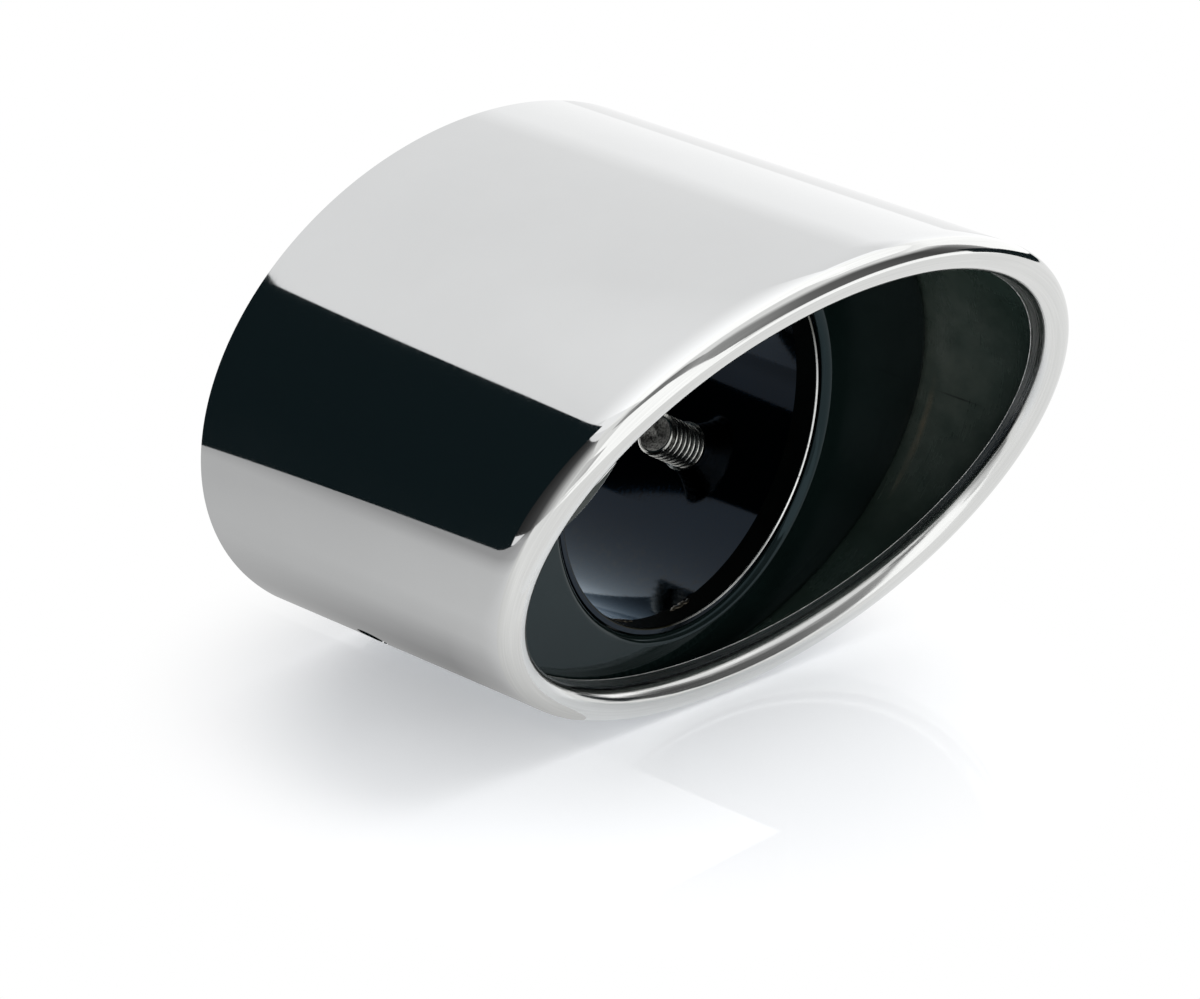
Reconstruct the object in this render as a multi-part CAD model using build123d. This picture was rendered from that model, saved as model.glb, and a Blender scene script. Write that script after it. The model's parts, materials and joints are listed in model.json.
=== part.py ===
"""Oval exhaust tip: polished shell with a rolled-in mouth, inlet plate, clamp sleeve, nut and set screw.

The origin is on the sleeve's axis, in the plane of the shell's rear rim, where the tail pipe goes in. +X runs
across the oval's long way, the pipe leaves along +Y, the mouth opens towards -Y, and +Z is up when the tip
lies on its flat side. All sizes are in millimetres and degrees. "Ahead" is a distance from the rear plane
towards the mouth.
"""
from build123d import *
import math
import os

# Shell: one oval tube, cut slanting at the mouth, with its edge rolled inwards
OVAL_WIDTH = 130.0          # outside, across X
OVAL_HEIGHT = 90.0          # outside, across Z
SHELL_LENGTH = 77.1         # rear rim to mouth, on the axis
MOUTH_RAKE = 19.1           # the roof reaches further forward than the floor
MOUTH_SWEEP = 4.5           # the +X side reaches further forward than the -X side
SHELL_SHEET = 1.2
LIP_BEAD = 5.8              # thickness of the rolled lip
LIP_RETURN = 7.3            # hem's cut edge behind the mouth plane, on the axis
HEM_SWEEP = 6.8             # the cut edge leans a little more than the mouth from side to side
ROLL_SHARE = 0.985          # how much of the half bead is rounded, on each side of the nose

# Inlet plate: a pressed pan with its rim turned back along the shell and a collar drawn back round the hole
PLATE_CLEARANCE = 0.3       # plate's face to the lowest place of the hem's cut edge
PLATE_SHEET = 1.2
RIM_DEPTH = 9.0
RIM_BEND = 2.4              # outer radius where face turns into rim
RIM_GAP = 0.05              # rim to shell, spot welded
COLLAR_BEND = 0.6           # radius of the drawn edge behind the sheet
COLLAR_DEPTH = 4.6          # front face to the collar's cut edge

# Clamp sleeve: the tube that takes the tail pipe, pushed into the collar from behind
SLEEVE_BORE = 66.0
SLEEVE_WALL = 1.2
SLEEVE_GAP = 0.05           # sleeve to collar, tack welded
SLEEVE_BACK = 0.9           # sleeve's front edge behind the plate's face
SLEEVE_INSET = 15.3         # sleeve's rear end ahead of the shell's rear rim

# Clamp: a nut welded over a hole in the sleeve, with a cup-point set screw in it
CLAMP_ANGLE = -31.0         # about the axis, from +X towards +Z
CLAMP_AHEAD = 27.5
SCREW_SIZE = 8.0            # thread's outer diameter
SCREW_LENGTH = 20.0
SCREW_REACH = 9.6           # how far its point stands into the sleeve's bore, as shown
SCREW_POINT = 6.9           # diameter of the point's rim
SCREW_POINT_LENGTH = 0.6    # length of the cone that leads to it
CUP_RIM = 0.3               # width of the rim round the hollow in the point
CUP_DEPTH = 1.2
CUP_FLOOR = 1.0             # diameter of the hollow's bottom
SCREW_CHAMFER = 0.7         # at the socket end
SOCKET_FLATS = 4.0
SOCKET_DEPTH = 5.0
THREAD_CLEARANCE = 0.08     # radial, screw to nut
SLEEVE_HOLE_CLEARANCE = 0.5  # radial, screw to sleeve
NUT_FLATS = 13.0
NUT_HEIGHT = 6.5
ACCESS_CLEARANCE = 1.0      # radial, screw to the hole in the shell that a key reaches it by

# Drain hole, low on the -X side of the shell
DRAIN_SIZE = 6.0
DRAIN_ANGLE = -148.2
DRAIN_AHEAD = 25.0

hem_outside = LIP_BEAD - SHELL_SHEET
side_fall = (OVAL_WIDTH / 2 - hem_outside) * math.tan(math.radians(HEM_SWEEP))
down_fall = (OVAL_HEIGHT / 2 - hem_outside) * math.tan(math.radians(MOUTH_RAKE))
hem_lowest = SHELL_LENGTH - math.hypot(side_fall, down_fall) - LIP_RETURN
plate_ahead = hem_lowest - PLATE_CLEARANCE
sleeve_inner = SLEEVE_BORE / 2
sleeve_outer = sleeve_inner + SLEEVE_WALL
sleeve_front = plate_ahead - SLEEVE_BACK
screw_tip = sleeve_inner - SCREW_REACH
overrun = OVAL_WIDTH + OVAL_HEIGHT + SHELL_LENGTH


def oval(inset):
    """The shell's outline, drawn in by the same amount all round, in the rear plane."""
    return Plane.XZ * Ellipse(OVAL_WIDTH / 2 - inset, OVAL_HEIGHT / 2 - inset)


def prism(sketch, start, end):
    """A sketch of the rear plane, drawn forward from one distance ahead to another."""
    return extrude(Pos(0, -start, 0) * sketch, amount=end - start)


def mouth_plane(back, sweep=MOUTH_SWEEP):
    """The slanting plane of the mouth, or one a distance behind it along the axis."""
    slope = (-math.tan(math.radians(sweep)), -1.0, -math.tan(math.radians(MOUTH_RAKE)))
    return Plane(origin=(0, back - SHELL_LENGTH, 0), x_dir=(0, slope[2], 1), z_dir=slope)


def behind_mouth(sketch, start, back, sweep=MOUTH_SWEEP):
    """A prism of the sketch that ends at the slanting mouth, or that far behind it."""
    return split(prism(sketch, start, overrun), bisect_by=mouth_plane(back, sweep), keep=Keep.BOTTOM)


def roll_radius(thickness):
    """The radius that rounds a ring of the lip. Its ovals are inset, so it is thinnest on the diagonals."""
    wide = OVAL_WIDTH / 2 - LIP_BEAD / 2
    high = OVAL_HEIGHT / 2 - LIP_BEAD / 2
    thinnest = thickness * 2 * math.sqrt(wide * high) / (wide + high)
    return ROLL_SHARE * thinnest / 2


def round_nose(ring, plane, radius):
    """Rounds both edges of a ring's slanting front face."""
    front = ring.faces().sort_by(lambda face: face.normal_at().dot(plane.z_dir))[-1]
    return fillet(front.edges(), radius)


def across(angle, ahead):
    """A plane that looks outwards from the axis at an angle about it, with its origin on the axis."""
    turn = math.radians(angle)
    return Plane(origin=(0, -ahead, 0), x_dir=(0, 1, 0), z_dir=(math.cos(turn), 0, math.sin(turn)))


def outward(plane, sketch, start, end):
    """A sketch drawn outwards between two distances from the axis."""
    return extrude(plane * Pos(0, 0, start) * sketch, amount=end - start)


def make_shell():
    """The oval tube with its rolled lip, and the holes for the key and for water."""
    lip = round_nose(behind_mouth(oval(0) - oval(LIP_BEAD), 0, 0), mouth_plane(0), roll_radius(LIP_BEAD))
    slant = 1 / mouth_plane(0).z_dir.dot(Vector(0, -1, 0))
    sheet_back = SHELL_SHEET * slant
    hollow = behind_mouth(oval(SHELL_SHEET) - oval(hem_outside), -1, sheet_back)
    hollow = round_nose(hollow, mouth_plane(sheet_back), roll_radius(hem_outside - SHELL_SHEET))
    behind_hem = behind_mouth(oval(SHELL_SHEET), -1, LIP_RETURN, HEM_SWEEP)
    shell = lip - hollow - behind_hem
    clamp = across(CLAMP_ANGLE, CLAMP_AHEAD)
    access = outward(clamp, Circle(SCREW_SIZE / 2 + ACCESS_CLEARANCE), sleeve_outer, OVAL_WIDTH)
    drain = outward(across(DRAIN_ANGLE, DRAIN_AHEAD), Circle(DRAIN_SIZE / 2), sleeve_outer, OVAL_WIDTH)
    return shell - access - drain


def make_plate():
    """The pressed pan: oval face, rim turned back along the shell, and the collar drawn back at the hole."""
    edge = SHELL_SHEET + RIM_GAP
    rim_start = plate_ahead - RIM_DEPTH
    pan = prism(oval(edge), rim_start, plate_ahead)
    pan = fillet(pan.faces().sort_by(Axis.Y)[0].edges(), RIM_BEND)
    hollow = prism(oval(edge + PLATE_SHEET), rim_start - 1, plate_ahead - PLATE_SHEET)
    hollow = fillet(hollow.faces().sort_by(Axis.Y)[0].edges(), RIM_BEND - PLATE_SHEET)
    collar_bore = sleeve_outer + SLEEVE_GAP
    front_bend = COLLAR_BEND + PLATE_SHEET
    hole = prism(Plane.XZ * Circle(collar_bore + front_bend), rim_start - 1, plate_ahead + 1)
    return pan - hollow - hole + make_collar(collar_bore, front_bend)


def make_collar(bore, front_bend):
    """The drawn edge of the plate's hole: a quarter bend and a short straight wall, turned about the axis."""
    bend_at = plate_ahead - front_bend
    middle = (bore + front_bend, bend_at)
    half = math.sqrt(0.5)
    front_half = (middle[0] - front_bend * half, bend_at + front_bend * half)
    front = ThreePointArc((middle[0], plate_ahead), front_half, (bore, bend_at))
    back_half = (middle[0] - COLLAR_BEND * half, bend_at + COLLAR_BEND * half)
    back = ThreePointArc((bore + PLATE_SHEET, bend_at), back_half, (middle[0], plate_ahead - PLATE_SHEET))
    cut = plate_ahead - COLLAR_DEPTH
    wall = Polyline((bore, bend_at), (bore, cut), (bore + PLATE_SHEET, cut), (bore + PLATE_SHEET, bend_at))
    close = Line((middle[0], plate_ahead - PLATE_SHEET), (middle[0], plate_ahead))
    section = mirror(make_face(front + wall + back + close), about=Plane.XZ)
    return revolve(section, axis=Axis.Y)


def make_sleeve():
    """The clamp sleeve, from inside the shell's rear into the collar, with the hole for the set screw."""
    tube = prism(Plane.XZ * (Circle(sleeve_outer) - Circle(sleeve_inner)), SLEEVE_INSET, sleeve_front)
    hole = Circle(SCREW_SIZE / 2 + SLEEVE_HOLE_CLEARANCE)
    return tube - outward(across(CLAMP_ANGLE, CLAMP_AHEAD), hole, 0, OVAL_WIDTH)


def make_nut():
    """The hexagon nut over the sleeve's hole, its corners chamfered and its foot hollowed to the sleeve."""
    clamp = across(CLAMP_ANGLE, CLAMP_AHEAD)
    top = sleeve_outer + NUT_HEIGHT
    corner = NUT_FLATS / math.sqrt(3)
    blank = outward(clamp, RegularPolygon(corner, 6), sleeve_inner, top)
    turned = outward(clamp, Circle(corner), sleeve_inner, top)
    turned = chamfer(turned.edges().sort_by(Axis(clamp.origin, clamp.z_dir))[-1], corner - NUT_FLATS / 2)
    bore = outward(clamp, Circle(SCREW_SIZE / 2 + THREAD_CLEARANCE), 0, top + 1)
    seat = prism(Plane.XZ * Circle(sleeve_outer), 0, sleeve_front)
    return (blank & turned) - bore - seat


def make_screw():
    """The set screw, with a cup point towards the pipe and a hexagon socket towards the shell."""
    clamp = across(CLAMP_ANGLE, CLAMP_AHEAD)
    end = screw_tip + SCREW_LENGTH
    rod = outward(clamp, Circle(SCREW_SIZE / 2), screw_tip, end)
    along = Axis(clamp.origin, clamp.z_dir)
    rod = chamfer(rod.edges().sort_by(along)[-1], SCREW_CHAMFER)
    rim = rod.edges().filter_by(GeomType.CIRCLE).sort_by(along)[0]
    rod = chamfer(rim, SCREW_POINT_LENGTH, (SCREW_SIZE - SCREW_POINT) / 2, reference=rod.faces().filter_by(
        GeomType.CYLINDER)[0])
    socket = outward(clamp, RegularPolygon(SOCKET_FLATS / math.sqrt(3), 6), end - SOCKET_DEPTH, end + 1)
    hollow = Cone(SCREW_POINT / 2 - CUP_RIM, CUP_FLOOR / 2, CUP_DEPTH)
    cup = clamp * Pos(0, 0, screw_tip + CUP_DEPTH / 2) * hollow
    return rod - socket - cup


os.makedirs("parts", exist_ok=True)
export_step(make_shell(), "parts/outer_shell.step")
export_step(make_plate(), "parts/inlet_plate.step")
export_step(make_sleeve(), "parts/clamp_sleeve.step")
export_step(make_nut(), "parts/weld_nut.step")
export_step(make_screw(), "parts/clamp_screw.step")
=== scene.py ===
"""Oval exhaust tip lying on its flat side: smooth sheet-metal pieces, a threaded clamp screw and a white table.

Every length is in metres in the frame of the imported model: +Y is the pipe's way out, the mouth opens towards -Y,
and "ahead" is a distance from the shell's rear rim towards the mouth.
"""
import json
import math

import bpy
import numpy as np
from bpy.props import FloatProperty, FloatVectorProperty, PointerProperty
from mathutils import Matrix, Vector


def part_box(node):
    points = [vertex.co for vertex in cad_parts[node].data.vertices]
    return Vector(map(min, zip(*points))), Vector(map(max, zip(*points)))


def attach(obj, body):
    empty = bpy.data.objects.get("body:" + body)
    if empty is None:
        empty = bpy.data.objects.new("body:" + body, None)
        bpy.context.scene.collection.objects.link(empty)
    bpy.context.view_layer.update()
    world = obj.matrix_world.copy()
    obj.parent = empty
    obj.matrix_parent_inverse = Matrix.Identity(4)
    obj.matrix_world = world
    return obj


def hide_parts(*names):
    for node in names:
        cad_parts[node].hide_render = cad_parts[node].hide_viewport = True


bl_info = {
    "name": "Oval exhaust tip",
    "version": (1, 0, 0),
    "blender": (4, 5, 0),
    "location": "3D View > Sidebar > Exhaust tip",
    "description": "Builds a polished oval exhaust tip with a rolled lip, an inlet plate and a clamp screw",
    "category": "Object",
}

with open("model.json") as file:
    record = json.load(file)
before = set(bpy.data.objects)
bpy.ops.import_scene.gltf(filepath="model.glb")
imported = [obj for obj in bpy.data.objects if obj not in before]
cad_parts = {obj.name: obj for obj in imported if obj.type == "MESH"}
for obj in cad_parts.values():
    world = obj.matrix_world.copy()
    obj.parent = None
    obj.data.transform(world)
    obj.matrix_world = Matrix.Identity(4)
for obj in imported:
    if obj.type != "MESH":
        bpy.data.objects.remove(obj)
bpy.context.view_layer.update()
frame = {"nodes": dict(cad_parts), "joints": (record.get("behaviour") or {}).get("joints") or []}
SHELL_LOW, SHELL_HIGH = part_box("outer_shell")
PLATE_LOW, PLATE_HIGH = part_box("inlet_plate")
SLEEVE_LOW, SLEEVE_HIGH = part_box("clamp_sleeve")
CLAMP = frame["joints"][0]
CLAMP_DIRECTION = Vector(CLAMP["axis"]).normalized()

AROUND = 360            # points round an oval
STEP = 2 * math.pi / AROUND
FORWARD = np.tile((0.0, -1.0, 0.0), (AROUND, 1))    # normals of a ring that looks towards the mouth
BACKWARD = np.tile((0.0, 1.0, 0.0), (AROUND, 1))
SHEET = 0.0012          # thickness of the sheet metal
STATION = 0.0015        # from ring to ring along a wall
EDGE_BREAK = 0.00015
ROLL_SHARE = 0.985      # how much of the largest possible radius the lip's roll has
CLOUDY = (0.3, 0.7)     # where most values of a noise lie


def length(name, text, default):
    """A length that a user may change."""
    return FloatProperty(name=name, description=text, default=default, min=0.0, unit="LENGTH", precision=5)


def angle(name, text, degrees):
    """An angle that a user may change, given in degrees."""
    return FloatProperty(name=name, description=text, default=math.radians(degrees), subtype="ANGLE")


def tint(name, text, colour):
    """A colour that a user may change."""
    return FloatVectorProperty(name=name, description=text, default=colour, subtype="COLOR", size=3, min=0, max=1)


class ShellSizes(bpy.types.PropertyGroup):
    """The oval shell with its slanting, rolled mouth."""
    width: length("Width", "Outside, across the oval's long way", SHELL_HIGH.x - SHELL_LOW.x)
    height: length("Height", "Outside, across the oval's short way", SHELL_HIGH.z - SHELL_LOW.z)
    reach: length("Length", "Rear rim to mouth, on the axis", 0.0771)
    rake: angle("Rake", "How far the mouth leans from top to bottom", 19.1)
    sweep: angle("Sweep", "How far the mouth leans from side to side", 4.5)
    sheet: length("Sheet", "Thickness of the sheet", SHEET)
    bead: length("Lip", "Thickness of the rolled lip", 0.0058)
    hem: length("Hem", "Hem's cut edge behind the mouth, on the axis", 0.0073)
    hem_sweep: angle("Hem sweep", "How far the hem's cut edge leans from side to side", 6.8)
    edge_break: length("Edge break", "Rounding of the cut edges", EDGE_BREAK)
    drain_size: length("Drain", "Diameter of the drain hole", 0.006)
    drain_angle: angle("Drain angle", "Drain hole's place about the axis", -148.2)
    drain_ahead: length("Drain place", "Drain hole ahead of the rear rim", 0.025)
    access_size: length("Key hole", "Diameter of the hole that a key goes through", 0.010)


class PlateSizes(bpy.types.PropertyGroup):
    """The pressed inlet plate with its rim and collar."""
    ahead: length("Face", "Front face ahead of the rear rim", -PLATE_LOW.y)
    width: length("Width", "Outside of the rim, the long way", PLATE_HIGH.x - PLATE_LOW.x)
    height: length("Height", "Outside of the rim, the short way", PLATE_HIGH.z - PLATE_LOW.z)
    depth: length("Rim", "Depth of the rim", PLATE_HIGH.y - PLATE_LOW.y)
    sheet: length("Sheet", "Thickness of the sheet", SHEET)
    rim_bend: length("Rim bend", "Outer radius between face and rim", 0.0024)
    bore: length("Collar bore", "Diameter of the drawn hole", 0.0685)
    collar_bend: length("Collar bend", "Outer radius of the drawn edge", 0.0018)
    collar_depth: length("Collar depth", "Front face to the collar's cut edge", 0.0046)


class SleeveSizes(bpy.types.PropertyGroup):
    """The clamp sleeve that takes the tail pipe."""
    outside: length("Outside", "Outside diameter", SLEEVE_HIGH.x - SLEEVE_LOW.x)
    rear: length("Rear end", "Rear end ahead of the shell's rear rim", -SLEEVE_HIGH.y)
    front: length("Front edge", "Front edge ahead of the shell's rear rim", -SLEEVE_LOW.y)
    wall: length("Wall", "Thickness of the tube", SHEET)
    edge: length("Edge break", "Rounding of the front edge, towards the bore", 0.0003)
    # The dull band carries the painted shade at the front of the bore.
    dull: length("Dull band", "Width of the dull band behind the front edge", 0.0047)
    hole: length("Screw hole", "Diameter of the hole for the clamp screw", 0.009)


class ScrewSizes(bpy.types.PropertyGroup):
    """The clamp's set screw, with a cup point and a hexagon socket."""
    ahead: length("Place", "Screw's axis ahead of the rear rim", 0.0275)
    tip: length("Tip", "Point's distance from the sleeve's axis", 0.0234)
    reach: length("Length", "Overall length", 0.020)
    thread: length("Thread", "Outer diameter of the thread", 0.008)
    pitch: length("Pitch", "Distance between two turns", 0.00141)
    point: length("Point", "Outer diameter of the cup's rim", 0.0069)
    point_length: length("Point length", "Length of the cone behind the point", 0.0006)
    rim: length("Cup rim", "Width of the cup's flat rim", 0.0003)
    cup: length("Cup depth", "Depth of the hollow in the point", 0.0012)
    chamfer: length("Chamfer", "Chamfer at the socket end", 0.0007)
    socket: length("Socket", "Hexagon socket across flats", 0.004)
    socket_depth: length("Socket depth", "Depth of the socket", 0.005)


class WeldSizes(bpy.types.PropertyGroup):
    """The tack welds between the collar and the sleeve."""
    first: angle("First tack", "First tack's place about the axis", -111.0)
    second: angle("Second tack", "Second tack's place about the axis", -84.0)
    reach: length("Length", "Length of a tack round the sleeve", 0.0055)
    width: length("Width", "Width of a tack along the axis", 0.0011)
    height: length("Height", "Height of a tack above the sleeve", 0.0003)


class Finishes(bpy.types.PropertyGroup):
    """Colours of the metals and of the black coat inside."""
    polished: tint("Polished steel", "Outside of the shell", (0.665, 0.672, 0.675))
    lip: tint("Lip steel", "Rolled lip", (0.70, 0.705, 0.695))
    inside: tint("Inner coat", "Semi-gloss black inside the shell", (0.026, 0.043, 0.036))
    plate: tint("Plate coat", "Gloss black on the inlet plate", (0.0034, 0.0072, 0.0066))
    sleeve: tint("Sleeve coat", "Blue-black of the clamp sleeve", (0.001, 0.005, 0.011))
    # Painted shade: colour of the dark band at the front of the sleeve's bore.
    front_shade: tint("Sleeve front", "Dull front of the sleeve's bore", (0.0007, 0.0013, 0.0012))
    edge: tint("Bare edge", "Cut front edge of the sleeve", (0.66, 0.67, 0.66))
    zinc: tint("Fastener steel", "Screw and nut", (0.60, 0.60, 0.57))
    weld: tint("Weld", "Tack welds", (0.10, 0.09, 0.07))
    # Painted sheen: colour of a lighter patch on the far inner wall.
    wall_sheen: tint("Sheen", "Dust on the inner coat", (0.125, 0.145, 0.125))
    heat: tint("Heat mark", "Heat mark by the plate's seam", (0.17, 0.145, 0.10))
    scratch: tint("Scratch", "Scratch in the inner coat", (0.002, 0.002, 0.002))
    worn: tint("Worn coat", "Coat that stays on the sleeve's front edge", (0.018, 0.017, 0.008))
    grime: tint("Grime", "Grime low in the sleeve", (0.014, 0.013, 0.010))
    # Painted shade in the roots of the thread and in the socket.
    root_shade: tint("Darkening", "Shading in the roots of the thread", (0.03, 0.032, 0.03))


class Studio(bpy.types.PropertyGroup):
    """Table, light and camera."""
    table: tint("Table", "Colour of the table", (0.955, 0.965, 0.98))
    flag: tint("Flags", "Colour of the dark cards that the metal mirrors", (0.007, 0.013, 0.015))
    sky: FloatProperty(name="Sky", description="Light from all round on dull surfaces", default=0.70, min=0.0)
    key: FloatProperty(name="Key lamp", description="Power of the lamp ahead, on the right", default=5.2,
                       min=0.0, unit="POWER")
    fill: FloatProperty(name="Table fill", description="How far the table's shadows are lifted", default=0.24, min=0.0)
    box: FloatProperty(name="Light boxes", description="Brightness of the light boxes in the mirrored metal",
                       default=1.42, min=0.0)
    lens: FloatProperty(name="Lens", description="Focal length in millimetres", default=157.8, min=1.0)


class Skin:
    """Points, faces and each face corner's exact normal, gathered before one mesh is made."""

    def __init__(self):
        self.points, self.along, self.faces, self.normals, self.finish = [], [], [], [], []

    def ring(self, points, along=0.0):
        """Adds points and returns their numbers. Along is their distance on the section, or their depth."""
        first = len(self.points)
        self.points.extend(map(tuple, points))
        self.along.extend(np.broadcast_to(along, len(points)))
        return list(range(first, len(self.points)))

    def face(self, corners, normals, finish):
        """Adds one face, turned so that it looks the way of its normals."""
        a, b, c = (np.array(self.points[corners[i]]) for i in (0, 1, 2))
        if np.dot(np.cross(b - a, c - a), np.sum(normals, axis=0)) < 0:
            corners, normals = corners[::-1], normals[::-1]
        self.faces.append(tuple(corners))
        self.normals.extend(map(tuple, normals))
        self.finish.append(finish)

    def band(self, low, high, low_normals, high_normals, finish, skip=()):
        """Joins two closed rings by four-sided faces, apart from the skipped places."""
        for i, (corners, normals) in enumerate(zip(quads(low, high), quads(low_normals, high_normals))):
            if i not in skip:
                self.face(corners, normals, finish)

    def bands(self, rings, normals, finish, skip=None):
        """Joins a row of closed rings. Skip gives the places to leave out of the band that starts at a row."""
        for k in range(len(rings) - 1):
            self.band(rings[k], rings[k + 1], normals[k], normals[k + 1], finish, skip(k) if skip else ())

    def flats(self, low, high, towards, finish):
        """Joins two closed rings by flat-shaded faces that look towards the given directions."""
        for corners, way in zip(quads(low, high), towards):
            a, b, c, d = (np.array(self.points[n]) for n in corners)
            normal = np.cross(c - a, d - b)
            normal = unit(normal if np.dot(normal, way) > 0 else -normal)
            self.face(corners, [normal] * 4, finish)

    def object(self, name, materials):
        """Makes the mesh object, with its materials and exact normals."""
        mesh = bpy.data.meshes.new(name)
        mesh.from_pydata(self.points, [], self.faces)
        for material in materials:
            mesh.materials.append(material)
        mesh.polygons.foreach_set("material_index", np.array(self.finish, np.int32))
        mesh.polygons.foreach_set("use_smooth", np.ones(len(self.faces), bool))
        mesh.attributes.new("along", "FLOAT", "POINT").data.foreach_set("value", np.array(self.along, np.float32))
        mesh.normals_split_custom_set(self.normals)
        mesh.update()
        made = bpy.data.objects.new(name, mesh)
        bpy.context.scene.collection.objects.link(made)
        return made


def quads(low, high):
    """The four corners of each place between two closed rings."""
    return [(low[i], low[k], high[k], high[i]) for i, k in enumerate([*range(1, len(low)), 0])]


def unit(vectors):
    """The same directions with length 1."""
    vectors = np.asarray(vectors, float)
    return vectors / np.linalg.norm(vectors, axis=-1, keepdims=True)


def between(start, end, part):
    """Directions turned from start towards end by a part of the angle between them."""
    dots = np.clip(np.sum(start * end, axis=1, keepdims=True), -1, 1)
    turn = np.arccos(dots)
    return (np.sin((1 - part) * turn) * start + np.sin(part * turn) * end) / np.sin(turn)


class Oval:
    """An upright oval wall about the axis: its points at a distance ahead, and its outward normals."""

    def __init__(self, half_wide, half_high):
        self.half_wide, self.half_high = half_wide, half_high
        turn = np.linspace(0, 2 * math.pi, AROUND, endpoint=False)
        self.x, self.z = half_wide * np.cos(turn), half_high * np.sin(turn)
        self.normals = unit(np.stack([half_high * np.cos(turn), 0 * turn, half_wide * np.sin(turn)], 1))

    def at(self, ahead, out=0.0):
        """Its points at a distance ahead, moved out along the normals."""
        flat = np.stack([self.x, np.broadcast_to(-np.asarray(ahead, float), AROUND), self.z], 1)
        return flat + self.normals * out

    def place(self, turn, ahead):
        """One point of the wall and its normal."""
        point = (self.half_wide * math.cos(turn), -ahead, self.half_high * math.sin(turn))
        normal = unit((self.half_high * math.cos(turn), 0, self.half_wide * math.sin(turn)))
        return point, normal

    def pierced(self, direction, offset):
        """Where a line from the axis plus an offset, along a direction, meets the wall: its turn and distance ahead."""
        dx, dz = direction.x / self.half_wide, direction.z / self.half_high
        ox, oz = offset.x / self.half_wide, offset.z / self.half_high
        a, b, c = dx * dx + dz * dz, 2 * (dx * ox + dz * oz), ox * ox + oz * oz - 1
        far = (-b + math.sqrt(b * b - 4 * a * c)) / (2 * a)
        point = offset + far * direction
        return math.atan2(point.z / self.half_high, point.x / self.half_wide), -point.y


class Hole:
    """A round hole drilled from the axis outwards through an outer and an inner wall."""
    RINGS = 5        # rings of faces round the rim
    CROWDING = 0.8   # how far they crowd towards it
    FRAME = 0.95     # half the frame that is cut out of the wall's grid, in diameters

    def __init__(self, direction, ahead, size, stations, wall):
        self.direction, self.radius, self.stations = direction, size / 2, stations
        self.middle = Vector((0, -ahead, 0))
        self.side = Vector((0, 1, 0))
        self.up = direction.cross(self.side)
        turn = wall.pierced(direction, self.middle)[0]
        speed = math.hypot(wall.half_wide * math.sin(turn), wall.half_high * math.cos(turn))
        half, first = math.ceil(size * self.FRAME / speed / STEP), round(turn / STEP)
        self.columns = list(range(first - half, first + half + 1))
        inside = [j for j, s in enumerate(stations) if abs(s - ahead) < size * self.FRAME]
        self.rows = list(range(inside[0], inside[-1] + 1))

    def skip(self, row):
        """The faces that the hole takes out of the band that starts at a row."""
        if row not in self.rows[:-1]:
            return ()
        return {c % AROUND for c in self.columns[:-1]}

    def edge(self):
        """The frame of grid places round the hole, in order, as row and column."""
        low, high = self.rows[0], self.rows[-1]
        left, right = self.columns[0], self.columns[-1]
        way = [(low, c) for c in range(left, right)] + [(r, right) for r in range(low, high)]
        way += [(high, c) for c in range(right, left, -1)] + [(r, left) for r in range(high, low, -1)]
        return way

    def spoke(self, turn):
        """The direction from the middle to the rim, at an angle about the hole's own axis."""
        return math.cos(turn) * self.side + math.sin(turn) * self.up

    def drill(self, skin, wall, rows, sign, finish, angles=None):
        """Fills the space between the grid and the round rim on one wall. Returns the rim's points and their angles."""
        edge = self.edge()
        corners = [rows[r][c % AROUND] for r, c in edge]
        if angles is None:
            spots = [Vector(skin.points[c]) - self.middle for c in corners]
            angles = [math.atan2(p.dot(self.up), p.dot(self.side)) for p in spots]
        rims = [wall.pierced(self.direction, self.middle + self.radius * self.spoke(a)) for a in angles]
        outer = [(c * STEP, self.stations[r]) for r, c in edge]
        rings, normals = [corners], [[sign * wall.place(*place)[1] for place in outer]]
        for k in range(1, self.RINGS + 1):
            part = (k / self.RINGS) ** self.CROWDING
            places = []
            for (turn, ahead), (rim_turn, rim_ahead) in zip(outer, rims):
                rim_turn += round((turn - rim_turn) / (2 * math.pi)) * 2 * math.pi
                places.append((turn + (rim_turn - turn) * part, ahead + (rim_ahead - ahead) * part))
            points, facing = zip(*(wall.place(*place) for place in places))
            rings.append(skin.ring(points, [ahead for _, ahead in places]))
            normals.append([sign * normal for normal in facing])
        skin.bands(rings, normals, finish)
        return rings[-1], angles

    def through(self, skin, outer, outer_rows, inner, inner_rows, inner_finish):
        """Drills both walls and joins their rims by the hole's own wall."""
        far, angles = self.drill(skin, outer, outer_rows, 1, 0)
        near, _ = self.drill(skin, inner, inner_rows, -1, inner_finish, angles)
        inward = [-self.spoke(a) for a in angles]
        skin.band(near, far, inward, inward, 0)


def left_out(holes, last=None):
    """A function from a wall's row to the places that holes take out there. With last, rows count back from it."""
    return lambda row: set().union(*(hole.skip(row if last is None else last - row - 1) for hole in holes))


class Mouth:
    """The slanting plane that cuts the shell."""

    def __init__(self, sizes, sweep):
        self.reach = sizes.reach
        self.slope = np.array([-math.tan(sweep), -1.0, -math.tan(sizes.rake)])
        self.steep = np.linalg.norm(self.slope)
        self.normal = np.tile(self.slope / self.steep, (AROUND, 1))

    def ahead(self, x, z, back=0.0):
        """The plane's distance ahead at a place, or that of one behind it along the axis."""
        return self.reach - self.slope[0] * x - self.slope[2] * z - back

    def roll(self, wall, out, radius, back, parts):
        """The arc that rounds a wall into the plane: rings of points and the directions from the arc's middle.
        Out is 1 where the metal lies inside the wall and -1 where it lies outside it."""
        facing = wall.normals * out
        middle = wall.at(0.0) - facing * radius
        middle[:, 1] = -(self.ahead(middle[:, 0], middle[:, 2], back) - radius * self.steep)
        turns = [between(facing, self.normal, part) for part in parts]
        return [middle + radius * turn for turn in turns], turns


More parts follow.
